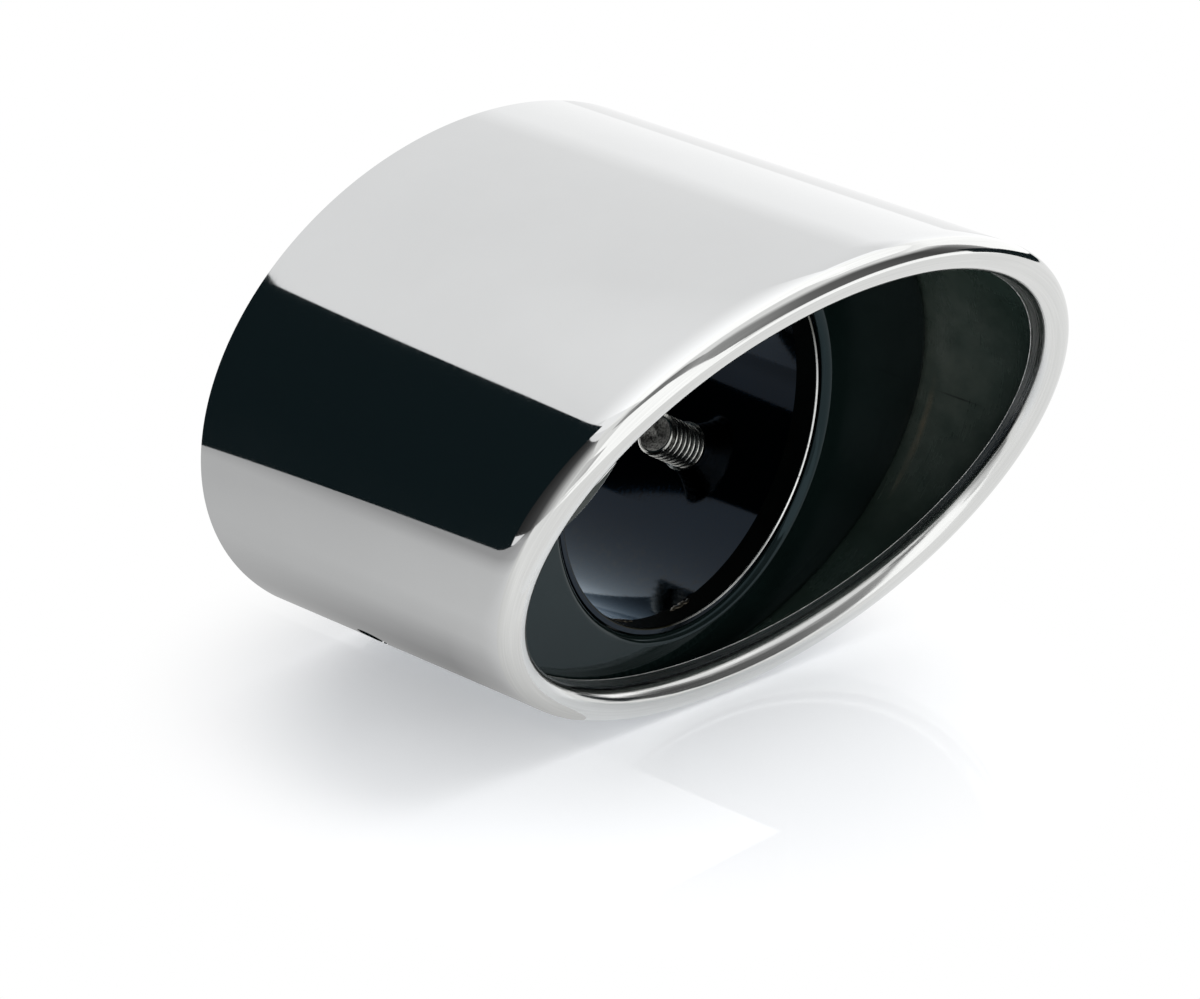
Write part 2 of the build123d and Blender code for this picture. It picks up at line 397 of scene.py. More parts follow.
def roll_radius(sizes, thickness):
    """The radius that rounds the lip, which is thinnest on the oval's diagonals."""
    wide, high = sizes.width / 2 - sizes.bead / 2, sizes.height / 2 - sizes.bead / 2
    return ROLL_SHARE * thickness * math.sqrt(wide * high) / (wide + high)


def even(rings, normals, finish=0):
    """A section with the same normals on all its rings."""
    return rings, [normals] * len(rings), finish


def stack(skin, sections, skips=None):
    """Joins a closed list of bands round the oval. Each section is (rings, normals, finish), and a section's first ring
    is the last one of the section before it. Skips gives, for a section's number, the places to leave out by row.
    Returns the ring numbers of each section."""
    made, along, before = [], 0.0, None
    for rings, _, _ in sections:
        numbers = []
        for k, points in enumerate(rings):
            if k == 0 and before is not None:
                numbers.append(before)
                continue
            if k:
                along += float(np.mean(np.linalg.norm(np.asarray(points) - rings[k - 1], axis=1)))
            numbers.append(skin.ring(points, along))
        before = numbers[-1]
        made.append(numbers)
    made[-1][-1] = made[0][0]
    for s, (numbers, (_, normals, finish)) in enumerate(zip(made, sections)):
        skin.bands(numbers, normals, finish, (skips or {}).get(s))
    return made


def grid_normals(rings, out):
    """Smooth normals of closed rings of points, looking the way of out."""
    rings = np.asarray(rings)
    normals = np.cross(np.roll(rings, -1, 1) - np.roll(rings, 1, 1), np.gradient(rings, axis=0))
    normals = unit(normals)
    return np.where(np.sum(normals * out, axis=2, keepdims=True) < 0, -normals, normals)


def nodes_of(name):
    """A new node material, its tree, and its main shader."""
    material = bpy.data.materials.new(name)
    material.use_nodes = True
    tree = material.node_tree
    return material, tree, tree.nodes["Principled BSDF"]


def plug(tree, node, inputs):
    """Sets inputs of a node. An input takes a value, or an output of another node."""
    for name, value in inputs.items():
        socket = node.inputs[name]
        if isinstance(value, bpy.types.NodeSocket):
            tree.links.new(value, socket)
        else:
            socket.default_value = (*value, 1) if socket.type == "RGBA" else value
    return node


def add(tree, kind, inputs=None, **settings):
    """Adds a node with its settings and inputs."""
    node = tree.nodes.new(kind)
    for name, value in settings.items():
        setattr(node, name, value)
    return plug(tree, node, inputs or {})


def place_of(tree):
    """Where a point of the surface lies on the tip."""
    return add(tree, "ShaderNodeTexCoord").outputs["Object"]


def spread(tree, scale):
    """The place, stretched by a scale for each axis."""
    return add(tree, "ShaderNodeMapping", {"Vector": place_of(tree), "Scale": scale}).outputs["Vector"]


def noise(tree, vector, scale=1.0, detail=2.0, roughness=0.5):
    """Cloudy values about one half."""
    return add(tree, "ShaderNodeTexNoise", {"Vector": vector, "Scale": scale, "Detail": detail,
                                            "Roughness": roughness}).outputs["Fac"]


def clouds(tree, scale, detail=2.0, roughness=0.5):
    """Cloudy values by the place on the tip."""
    return noise(tree, place_of(tree), scale, detail, roughness)


def streaks(tree, scale):
    """Cloudy values drawn out by a scale for each axis."""
    return noise(tree, spread(tree, scale), 1.0, 3.0)


def remap(tree, value, low, high, new_low=0.0, new_high=1.0, smooth=False):
    """A value moved from one range to another, and kept inside it."""
    return add(tree, "ShaderNodeMapRange", {"Value": value, "From Min": low, "From Max": high, "To Min": new_low,
                                            "To Max": new_high},
               interpolation_type="SMOOTHSTEP" if smooth else "LINEAR").outputs["Result"]


def swing(tree, cloud, low, high):
    """Cloudy values made to swing from a low value to a high one."""
    return remap(tree, cloud, *CLOUDY, low, high)


def times(tree, a, b):
    """Two values multiplied."""
    return add(tree, "ShaderNodeMath", {0: a, 1: b}, operation="MULTIPLY").outputs[0]


def plus(tree, a, b):
    """Two values added."""
    return add(tree, "ShaderNodeMath", {0: a, 1: b}, operation="ADD").outputs[0]


def mixed(tree, part, first, second):
    """Two colours mixed by a part from 0 to 1. The numbers are those of the node's colour sockets."""
    return add(tree, "ShaderNodeMix", {0: part, 6: first, 7: second}, data_type="RGBA").outputs[2]


def mark(tree, middle, size):
    """A soft spot on the tip: 1 at its middle and 0 at its rim."""
    scale = tuple(1 / s for s in size)
    moved = add(tree, "ShaderNodeMapping", {"Vector": place_of(tree), "Scale": scale,
                                            "Location": tuple(-m / s for m, s in zip(middle, size))})
    return add(tree, "ShaderNodeTexGradient", {"Vector": moved.outputs["Vector"]},
               gradient_type="SPHERICAL").outputs["Fac"]


def shade(colour, factor):
    """A colour made darker or lighter."""
    return tuple(min(1.0, c * factor) for c in colour)


def tones(tree, cloud, colour, dark, light, span=CLOUDY):
    """A colour that wanders between two shades of its own."""
    return mixed(tree, remap(tree, cloud, *span), shade(colour, dark), shade(colour, light))


def dress(tree, shader, colour, roughness, height=None, depth=0.0, metallic=1.0):
    """Gives a shader its colour, roughness and relief."""
    plug(tree, shader, {"Base Color": colour, "Roughness": roughness, "Metallic": metallic})
    if height is not None:
        bump = add(tree, "ShaderNodeBump", {"Height": height, "Strength": 1.0, "Distance": depth})
        plug(tree, shader, {"Normal": bump.outputs["Normal"]})


def rough_finish(name, grain, colour, shades, span, gloss, depth):
    """A rough finish whose colour, gloss and relief follow one grain. Grain is the noise's scale, detail and
    roughness. Shades are the darkest and lightest of the colour, which the grain takes on over a span."""
    material, tree, shader = nodes_of(name)
    cloud = clouds(tree, *grain)
    dress(tree, shader, tones(tree, cloud, colour, *shades, span), swing(tree, cloud, *gloss), cloud, depth)
    return material


def polished_shell(colours):
    """Mirror-polished sheet, with a faint haze and polishing lines round the oval."""
    material, tree, shader = nodes_of("polished_shell_steel")
    haze, lines = clouds(tree, 38.0, 4.0, 0.6), streaks(tree, (14.0, 2600.0, 14.0))
    colour = tones(tree, haze, colours.polished, 0.97, 1.0)
    gloss = plus(tree, remap(tree, haze, 0.3, 0.75, 0.022, 0.05), remap(tree, lines, 0.45, 0.8, 0.0, 0.03))
    dress(tree, shader, colour, gloss, clouds(tree, 17.0, 1.0), 0.00008)
    return material


def satin_lip(colours, nose, hem):
    """The rolled lip: polished outside, and brushed along its length from the nose to the hem's cut edge."""
    material, tree, shader = nodes_of("brushed_lip_steel")
    along = add(tree, "ShaderNodeAttribute", attribute_name="along").outputs["Fac"]
    slow = add(tree, "ShaderNodeSeparateXYZ", {"Vector": spread(tree, (55.0, 55.0, 55.0))}).outputs
    grain = []
    for fine, weight in ((2600.0, 0.55), (7000.0, 0.45)):
        vector = add(tree, "ShaderNodeCombineXYZ", {"X": times(tree, along, fine), "Y": slow["X"], "Z": slow["Z"]})
        grain.append(times(tree, noise(tree, vector.outputs["Vector"]), weight))
    grain = plus(tree, *grain)
    wide = hem - nose
    inner = remap(tree, along, nose, nose + wide * 0.45, smooth=True)
    brushed = remap(tree, grain, 0.35, 0.65, 0.08, 0.22)
    bright = swing(tree, clouds(tree, 60.0, 3.0), 0.035, 0.085)
    gloss = add(tree, "ShaderNodeMix", {"Factor": inner, "A": bright, "B": brushed}).outputs["Result"]
    gloss = plus(tree, gloss, remap(tree, along, nose + wide * 0.5, nose + wide * 0.75, 0.0, 0.16))
    colour = tones(tree, grain, colours.lip, 0.9, 1.0, (0.35, 0.7))
    dress(tree, shader, colour, gloss, times(tree, grain, inner), 0.00003)
    return material


def cut_edge(colours):
    """The hem's sheared edge: bright, rough and a little ragged."""
    return rough_finish("sheared_edge_steel", (900.0, 3.0, 0.6), colours.lip, (0.55, 1.3), (0.35, 0.6), (0.45, 0.65),
                        0.00003)


def inner_coat(colours, seam):
    """Semi-gloss black inside the shell, with a painted sheen patch and a heat mark by the seam, and a fine scratch."""
    material, tree, shader = nodes_of("inner_black_coat")
    cloud, lines = clouds(tree, 55.0, 5.0, 0.62), streaks(tree, (25.0, 1500.0, 25.0))
    colour = tones(tree, cloud, colours.inside, 0.75, 1.25)
    # Painted sheen: a lighter patch on the far wall by the seam.
    wall_sheen = times(tree, mark(tree, (0.0622, -seam - 0.003, -0.002), (0.030, 0.019, 0.034)),
                 swing(tree, clouds(tree, 240.0, 4.0), 0.35, 1.0))
    colour = mixed(tree, times(tree, wall_sheen, 0.8), colour, colours.wall_sheen)
    heat = times(tree, mark(tree, (0.0595, -seam - 0.0018, -0.015), (0.02, 0.0010, 0.012)),
                 swing(tree, clouds(tree, 420.0, 3.0), 0.2, 1.0))
    colour = mixed(tree, heat, colour, colours.heat)
    scratch = mark(tree, (0.063, -seam - 0.0079, -0.0073), (0.01, 0.0058, 0.00022))
    colour = mixed(tree, scratch, colour, colours.scratch)
    gloss = plus(tree, swing(tree, cloud, 0.20, 0.32), remap(tree, lines, 0.4, 0.8, 0.0, 0.04))
    dress(tree, shader, colour, gloss, lines, 0.000007, metallic=0.0)
    return material


def plate_coat(colours):
    """Gloss black on the inlet plate, faintly cloudy, with fine rub marks in the gloss."""
    material, tree, shader = nodes_of("plate_black_coat")
    cloud, rub = clouds(tree, 48.0, 4.0, 0.6), streaks(tree, (900.0, 60.0, 120.0))
    gloss = plus(tree, swing(tree, cloud, 0.04, 0.09), remap(tree, rub, 0.5, 0.85, 0.0, 0.05))
    dress(tree, shader, tones(tree, cloud, colours.plate, 0.8, 1.25), gloss, cloud, 0.00004, metallic=0.0)
    plug(tree, shader, {"IOR": 1.36, "Specular Tint": (0.60, 0.88, 1.0)})
    return material


def bare_edge(colours):
    """Front edge of the sleeve: a thin bare line on the right, wear and painted highlight; the coat stays on the left.
    """
    material, tree, shader = nodes_of("bare_edge_steel")
    chips, cloud = clouds(tree, 1600.0, 3.0, 0.6), clouds(tree, 120.0, 3.0)
    place = add(tree, "ShaderNodeSeparateXYZ", {"Vector": place_of(tree)}).outputs
    # The bare line is kept to the right and low side, where the highlight falls: wear and painted highlight.
    worn_and_lit = times(tree, remap(tree, place["X"], -0.004, 0.012), remap(tree, cloud, 0.30, 0.5, 0.45, 1.0))
    worn_and_lit = times(tree, worn_and_lit, remap(tree, place["Z"], 0.012, 0.0, 0.15, 1.0))
    bare = times(tree, remap(tree, chips, 0.30, 0.42, 0.4, 1.0), worn_and_lit)
    dress(tree, shader, mixed(tree, bare, colours.worn, colours.edge), swing(tree, chips, 0.10, 0.26), chips, 0.00001)
    return material


def sleeve_coat(colours):
    """Blue-black sleeve: an even gloss under a thin clear coat, with a little grime low in the bore."""
    material, tree, shader = nodes_of("sleeve_black_coat")
    cloud = clouds(tree, 70.0, 5.0, 0.6)
    place = add(tree, "ShaderNodeSeparateXYZ", {"Vector": place_of(tree)}).outputs
    low = times(tree, remap(tree, place["Z"], -0.0285, -0.0325, smooth=True),
                remap(tree, clouds(tree, 700.0, 4.0), 0.5, 0.75, 0.0, 0.5))
    colour = mixed(tree, low, tones(tree, cloud, colours.sleeve, 0.9, 1.1), colours.grime)
    gloss = plus(tree, swing(tree, cloud, 0.05, 0.08), times(tree, low, 0.3))
    dress(tree, shader, colour, gloss, clouds(tree, 1500.0), 0.00001)
    plug(tree, shader, {"Specular Tint": (0.75, 0.88, 1.0), "Coat Weight": 1.0, "Coat IOR": 1.22,
                        "Coat Roughness": 0.06})
    return material


def shaded_front_coat(colours):
    """The front of the sleeve's bore, where the collar was welded on: a dull, near-black coat that is painted shade."""
    material, tree, shader = nodes_of("sleeve_front_shade")
    cloud = clouds(tree, 160.0, 4.0, 0.6)
    dress(tree, shader, tones(tree, cloud, colours.front_shade, 0.6, 1.4), swing(tree, cloud, 0.35, 0.6), metallic=0.0)
    # A low IOR leaves the band almost without reflection, so it stays dark as painted shade.
    plug(tree, shader, {"IOR": 1.06})
    return material


def plated_fastener(colours, name, roots=False):
    """Plated steel with cutting marks. On a thread, painted shade darkens the roots by their depth."""
    material, tree, shader = nodes_of(name)
    cloud = clouds(tree, 520.0, 4.0, 0.6)
    colour = tones(tree, cloud, colours.zinc, 0.78, 1.12)
    if roots:
        depth = add(tree, "ShaderNodeAttribute", attribute_name="along").outputs["Fac"]
        # Painted shade: the deeper a place lies, the darker it is.
        colour = mixed(tree, remap(tree, depth, 0.0002, 0.0008, 0.0, 0.75), colour, colours.root_shade)
    dress(tree, shader, colour, swing(tree, cloud, 0.13, 0.26), clouds(tree, 3200.0), 0.00003)
    return material


def shaded_hollow(colours):
    """The hollow in the screw's point: rough and speckled, darkened to a dull grey as painted shade."""
    return rough_finish("cup_shaded_steel", (2600.0, 3.0, 0.6), colours.zinc, (0.12, 0.5), (0.4, 0.6), (0.4, 0.6),
                        0.00005)


def weld_metal(colours):
    """Weld beads: rough, heat-tinted straw and brown."""
    return rough_finish("weld_bead_steel", (900.0, 4.0, 0.65), colours.weld, (0.2, 1.3), (0.35, 0.65), (0.22, 0.5),
                        0.0001)


class TIP_OT_shell(bpy.types.Operator):
    """Build the oval shell with its rolled lip and holes"""
    bl_idname = "exhaust_tip.shell"
    bl_label = "Build shell"
    SPACES, FAR_STEPS = 32, 6       # even spaces from the rear rim, then steps that take up the mouth's slant
    SHOULDER = (0.004, 0.003, 0.002, 0.001)     # how far behind the roll its soft shoulder has rings
    LEAN, LEANS = 0.18, (0.0, 0.10, 0.30, 0.60, 1.0)    # lean of the shoulder's normals, and its share ring by ring
    ARC_POINTS = 15
    HEM_PARTS = (0.0, 0.2, 0.4, 0.6, 0.8, 0.95)
    OUTSIDE, NOSE, CUT, INSIDE = 0, 2, 6, 11    # places in the list of sections

    def execute(self, context):
        sizes, colours = context.scene.tip_shell, context.scene.tip_finishes
        screw = context.scene.tip_screw
        skin, mouth, cut = Skin(), Mouth(sizes, sizes.sweep), Mouth(sizes, sizes.hem_sweep)
        half = (sizes.width / 2, sizes.height / 2)
        outer, inner, hem_out, hem_in = (Oval(half[0] - inset, half[1] - inset) for inset in (
            0.0, sizes.sheet, sizes.bead - sizes.sheet, sizes.bead))
        steel, lip, coat, sheared = range(4)
        arc = np.linspace(0, 1, self.ARC_POINTS)
        bead_radius = roll_radius(sizes, sizes.bead)
        hollow_radius = roll_radius(sizes, sizes.bead - 2 * sizes.sheet)
        sheet_back = sizes.sheet * mouth.steep
        outer_roll, _ = mouth.roll(outer, 1, bead_radius, 0, arc)
        inner_roll, _ = mouth.roll(hem_in, -1, bead_radius, 0, arc[::-1])
        hollow_in, hollow_in_turn = mouth.roll(hem_out, -1, hollow_radius, sheet_back, arc)
        hollow_out, hollow_out_turn = mouth.roll(inner, 1, hollow_radius, sheet_back, arc[::-1])
        soft = sizes.edge_break
        stations = [soft] + [STATION * k for k in range(1, self.SPACES + 1)]

        def wall_rings(oval, far):
            """A wall's rings, from the rear rim to a far one."""
            rest = -np.asarray(far)[:, 1] - stations[-1]
            slanting = [oval.at(stations[-1] + rest * k / self.FAR_STEPS) for k in range(1, self.FAR_STEPS)]
            return [oval.at(s) for s in stations] + slanting + [far]

        def leaning(normals, parts):
            """Normals turned towards the mouth's, by parts of the way."""
            return [between(normals, mouth.normal, part) for part in parts]

        shoulder = [outer_roll[0] + np.array((0.0, back, 0.0)) for back in self.SHOULDER]
        outer_rings = wall_rings(outer, shoulder[0]) + shoulder[1:] + [outer_roll[0]]
        outer_normals = [outer.normals] * (len(outer_rings) - len(self.LEANS))
        outer_normals += leaning(outer.normals, [self.LEAN * part for part in self.LEANS])
        outer_turn = leaning(outer.normals, [part + self.LEAN * (1 - part) ** 2 for part in arc])
        inner_rings = wall_rings(inner, hollow_out[-1])[::-1]
        # The hem's normals lean a little towards the mouth, more where it lies low, and ease off over its first third.
        lower = np.clip(-hem_in.normals[:, 2:], 0, 1)
        ease, burr = 0.04 + 0.18 * lower ** 4, 0.12 + 0.28 * lower
        inner_turn = leaning(-hem_in.normals, [part + ease * (1 - part) ** 2 for part in arc[::-1]])
        hem_start = inner_roll[-1]
        hem_end, hem_back = (oval.at(cut.ahead(oval.x, oval.z, sizes.hem)) for oval in (hem_in, hem_out))
        hem_rings = [hem_start + (hem_end - hem_start) * part for part in self.HEM_PARTS]
        hem_normals = leaning(-hem_in.normals, [ease * max(0, 1 - 3 * part) for part in self.HEM_PARTS])
        rim_outer, rim_inner = outer.at(0.0, -soft), inner.at(0.0, soft)
        sections = [
            (outer_rings, outer_normals, steel),
            (outer_roll, outer_turn, lip),
            even([outer_roll[-1], inner_roll[0]], mouth.normal, lip),
            (inner_roll, inner_turn, lip),
            (hem_rings, hem_normals, lip),
            even([hem_rings[-1], hem_end], between(-hem_in.normals, mouth.normal, burr), sheared),
            even([hem_end, hem_back], -cut.normal, sheared),
            even([hem_back, hollow_in[0]], hem_out.normals, coat),
            (hollow_in, [-turn for turn in hollow_in_turn], coat),
            even([hollow_in[-1], hollow_out[0]], -mouth.normal, coat),
            (hollow_out, [-turn for turn in hollow_out_turn], coat),
            even(inner_rings, -inner.normals, coat),
            ([inner.at(soft), rim_inner], [-inner.normals, BACKWARD], steel),
            even([rim_inner, rim_outer], BACKWARD, steel),
            ([rim_outer, outer.at(soft)], [BACKWARD, outer.normals], steel),
        ]
        turn = sizes.drain_angle
        holes = [
            Hole(Vector((math.cos(turn), 0, math.sin(turn))), sizes.drain_ahead, sizes.drain_size, stations, outer),
            Hole(CLAMP_DIRECTION, screw.ahead, sizes.access_size, stations, outer),
        ]
        numbers = stack(skin, sections, {self.OUTSIDE: left_out(holes),
                                         self.INSIDE: left_out(holes, len(inner_rings) - 1)})
        for hole in holes:
            hole.through(skin, outer, numbers[self.OUTSIDE], inner, numbers[self.INSIDE][::-1], coat)
        nose, hem = (skin.along[numbers[section][0][0]] for section in (self.NOSE, self.CUT))
        seam = context.scene.tip_plate.ahead
        made = skin.object("shell", [polished_shell(colours), satin_lip(colours, nose, hem), inner_coat(colours, seam),
                                     cut_edge(colours)])
        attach(made, "tip")
        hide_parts("outer_shell")
        return {"FINISHED"}


class TIP_OT_plate(bpy.types.Operator):
    """Build the pressed inlet plate with its rim and drawn collar"""
    bl_idname = "exhaust_tip.plate"
    bl_label = "Build inlet plate"

    def execute(self, context):
        sizes, colours = context.scene.tip_plate, context.scene.tip_finishes
        skin = Skin()
        rim = Oval(sizes.width / 2, sizes.height / 2)
        rim_in = Oval(sizes.width / 2 - sizes.sheet, sizes.height / 2 - sizes.sheet)
        bore = Oval(sizes.bore / 2, sizes.bore / 2)
        radial = bore.normals
        arc = np.linspace(0, 1, 9)
        bend_at = sizes.ahead - sizes.collar_bend
        cut_at = sizes.ahead - sizes.collar_depth
        rim_at = sizes.ahead - sizes.rim_bend
        rear = sizes.ahead - sizes.depth
        behind = sizes.ahead - sizes.sheet
        collar_middle = bore.at(bend_at, sizes.collar_bend)
        rim_middle = rim.at(rim_at, -sizes.rim_bend)
        rim_in_bend = sizes.rim_bend - sizes.sheet
        rim_in_middle = rim_in.at(behind - rim_in_bend, -rim_in_bend)

        def swept(middle, radius, start, end):
            turns = [between(start, end, part) for part in arc]
            return [middle + radius * turn for turn in turns], turns

        def flat(start, end, count=6):
            return [start + (end - start) * k / count for k in range(count + 1)]

        collar, collar_turn = swept(collar_middle, sizes.collar_bend, -radial, FORWARD)
        rim_bend, rim_turn = swept(rim_middle, sizes.rim_bend, FORWARD, rim.normals)
        rim_back, rim_back_turn = swept(rim_in_middle, rim_in_bend, rim_in.normals, FORWARD)
        collar_back, collar_back_turn = swept(collar_middle, sizes.collar_bend - sizes.sheet, FORWARD, -radial)
        stack(skin, [
            even([bore.at(cut_at), collar[0]], -radial),
            (collar, collar_turn, 0),
            even(flat(collar[-1], rim_bend[0]), FORWARD),
            (rim_bend, rim_turn, 0),
            even([rim_bend[-1], rim.at(rear)], rim.normals),
            even([rim.at(rear), rim_in.at(rear)], BACKWARD),
            even([rim_in.at(rear), rim_back[0]], -rim_in.normals),
            (rim_back, [-turn for turn in rim_back_turn], 0),
            even(flat(rim_back[-1], collar_back[0]), BACKWARD),
            (collar_back, [-turn for turn in collar_back_turn], 0),
            even([collar_back[-1], bore.at(cut_at, sizes.sheet)], radial),
            even([bore.at(cut_at, sizes.sheet), bore.at(cut_at)], BACKWARD),
        ])
        made = skin.object("plate", [plate_coat(colours)])
        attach(made, "tip")
        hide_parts("inlet_plate")
        return {"FINISHED"}


class TIP_OT_sleeve(bpy.types.Operator):
    """Build the clamp sleeve with the hole for its screw"""
    bl_idname = "exhaust_tip.sleeve"
    bl_label = "Build clamp sleeve"
    OUTSIDE, INSIDE = 0, 5      # places in the list of sections

    def execute(self, context):
        sizes, colours = context.scene.tip_sleeve, context.scene.tip_finishes
        screw = context.scene.tip_screw
        skin = Skin()
        outer = Oval(sizes.outside / 2, sizes.outside / 2)
        inner = Oval(sizes.outside / 2 - sizes.wall, sizes.outside / 2 - sizes.wall)
        coat, bare, dull = range(3)
        soft = EDGE_BREAK
        steps = round((sizes.front - sizes.rear) / STATION)
        stations = list(np.linspace(sizes.rear + soft, sizes.front - sizes.dull, steps + 1))
        outer_rings = [outer.at(s) for s in stations]
        inner_rings = [inner.at(s) for s in stations][::-1]
        front_out = outer.at(sizes.front, -soft)
        round_middle = inner.at(sizes.front - sizes.edge, sizes.edge)
        turns = [between(FORWARD, -inner.normals, part) for part in np.linspace(0, 1, 8)]
        rounded = [round_middle + sizes.edge * turn for turn in turns]
        rear_out, rear_in = outer.at(sizes.rear, -soft), inner.at(sizes.rear, soft)
        sections = [
            even(outer_rings, outer.normals, coat),
            ([outer_rings[-1], outer.at(sizes.front - soft), front_out], [outer.normals, outer.normals, FORWARD], coat),
            even([front_out, rounded[0]], FORWARD, coat),
            (rounded, turns, bare),
            even([inner.at(sizes.front - sizes.edge), inner_rings[0]], -inner.normals, dull),
            even(inner_rings, -inner.normals, coat),
            ([inner_rings[-1], rear_in], [-inner.normals, BACKWARD], coat),
            even([rear_in, rear_out], BACKWARD, coat),
            ([rear_out, outer_rings[0]], [BACKWARD, outer.normals], coat),
        ]
        hole = Hole(CLAMP_DIRECTION, screw.ahead, sizes.hole, stations, outer)
        numbers = stack(skin, sections, {self.OUTSIDE: left_out([hole]),
                                         self.INSIDE: left_out([hole], len(inner_rings) - 1)})
        hole.through(skin, outer, numbers[self.OUTSIDE], inner, numbers[self.INSIDE][::-1], coat)
        made = skin.object("sleeve", [sleeve_coat(colours), bare_edge(colours), shaded_front_coat(colours)])
        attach(made, "tip")
        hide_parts("clamp_sleeve")
        return {"FINISHED"}


class TIP_OT_screw(bpy.types.Operator):
    """Build the clamp's set screw with its thread, cup point and socket"""
    bl_idname = "exhaust_tip.screw"
    bl_label = "Build clamp screw"
    POINTS, RINGS = 96, 241
    DEPTH = 0.6134                  # of the thread, in pitches
    CREST, FLANK = 0.125, 0.625     # widths in the thread's profile, in half pitches
    CUP_PROFILE = ((0.0, 1.0), (0.12, 0.93), (0.9, 0.22), (1.0, 0.05))      # shares of its depth and its radius
    CUP_SLANT, SOFT_SLANT = 0.75, 0.4       # slants of the normals in the hollows
    CUP_DIRT, SOCKET_DIRT = 0.0002, 0.0006      # how deep these hollows count as sunk, for the painted shade in them
    DRILL_RISE, DRILL_END = 0.0009, 0.0003      # the cone at the socket's end: its height and its blunt radius

    def execute(self, context):
        sizes, colours = context.scene.tip_screw, context.scene.tip_finishes
        skin = Skin()
        turn = np.linspace(0, 2 * math.pi, self.POINTS, endpoint=False)
        axis = np.array(CLAMP_DIRECTION)
        side = np.array((0.0, 1.0, 0.0))
        out = np.cos(turn)[:, None] * side + np.sin(turn)[:, None] * np.cross(axis, side)
        middle = np.array((0.0, -sizes.ahead, 0.0))
        outer, depth = sizes.thread / 2, self.DEPTH * sizes.pitch

        def ring(along, radius):
            """Points round the screw's axis, at a distance from its tip."""
            return middle + axis * (sizes.tip + along) + out * np.broadcast_to(radius, self.POINTS)[:, None]

        rings, sunk = [], []
        for along in np.linspace(0, sizes.reach, self.RINGS):
            fall = np.abs((along / sizes.pitch - turn / (2 * math.pi)) % 1.0 - 0.5) * 2
            fall = np.clip((fall - self.CREST) / self.FLANK, 0, 1)
            thread = outer - depth * fall * fall * (3 - 2 * fall)
            cone = sizes.point / 2 + (outer - sizes.point / 2) * along / sizes.point_length
            chamfer = outer - sizes.chamfer + sizes.reach - along
            radius = np.minimum(np.minimum(thread, cone), chamfer)
            rings.append(ring(along, radius))
            sunk.append(outer - radius)
        numbers = [skin.ring(points, low) for points, low in zip(rings, sunk)]
        skin.bands(numbers, grid_normals(rings, out), 0)
        self.cup(skin, ring, numbers[0], axis, out, sizes)
        self.socket(skin, ring, numbers[-1], axis, out, turn, sizes)
        made = skin.object("screw", [plated_fastener(colours, "screw_steel", roots=True), shaded_hollow(colours)])
        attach(made, "screw")
        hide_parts("clamp_screw")
        return {"FINISHED"}

    def cup(self, skin, ring, rim, axis, out, sizes):
        """The cup point: a flat rim and a hollow cone, towards the pipe."""
        flat = np.tile(-axis, (len(out), 1))
        edge = sizes.point / 2 - sizes.rim
        slant = unit(-axis - self.CUP_SLANT * out)
        hollow = [unit(-axis - self.SOFT_SLANT * out), slant, slant, flat]
        rings = [skin.ring(ring(sizes.cup * deep, edge * wide), self.CUP_DIRT) for deep, wide in self.CUP_PROFILE]
        skin.band(rim, rings[0], flat, flat, 0)
        skin.bands(rings, hollow, 1)
        skin.face(rings[-1], list(flat), 1)

    def socket(self, skin, ring, rim, axis, out, turn, sizes):
        """The hexagon socket, away from the pipe."""
        flat = np.tile(axis, (len(out), 1))
        hexagon = sizes.socket / 2 / np.cos(turn % (math.pi / 3) - math.pi / 6)
        top, end = sizes.reach, sizes.reach - sizes.socket_depth
        mouth = skin.ring(ring(top, hexagon + EDGE_BREAK))
        throat = skin.ring(ring(top - EDGE_BREAK, hexagon))
        foot = skin.ring(ring(end + self.DRILL_RISE, hexagon), self.SOCKET_DIRT)
        drill = skin.ring(ring(end, self.DRILL_END), self.SOCKET_DIRT)
        skin.band(rim, mouth, flat, flat, 0)
        skin.flats(mouth, throat, flat - out, 0)
        skin.flats(throat, foot, -out, 0)
        skin.band(foot, drill, unit(flat - self.SOFT_SLANT * out), flat, 0)
        skin.face(drill, list(flat), 0)


class TIP_OT_nut(bpy.types.Operator):
    """Finish the nut that is welded to the sleeve"""
    bl_idname = "exhaust_tip.nut"
    bl_label = "Finish nut"

    def execute(self, context):
        finish = plated_fastener(context.scene.tip_finishes, "nut_steel")
        for slot in frame["nodes"]["weld_nut"].material_slots:
            slot.material = finish
        return {"FINISHED"}


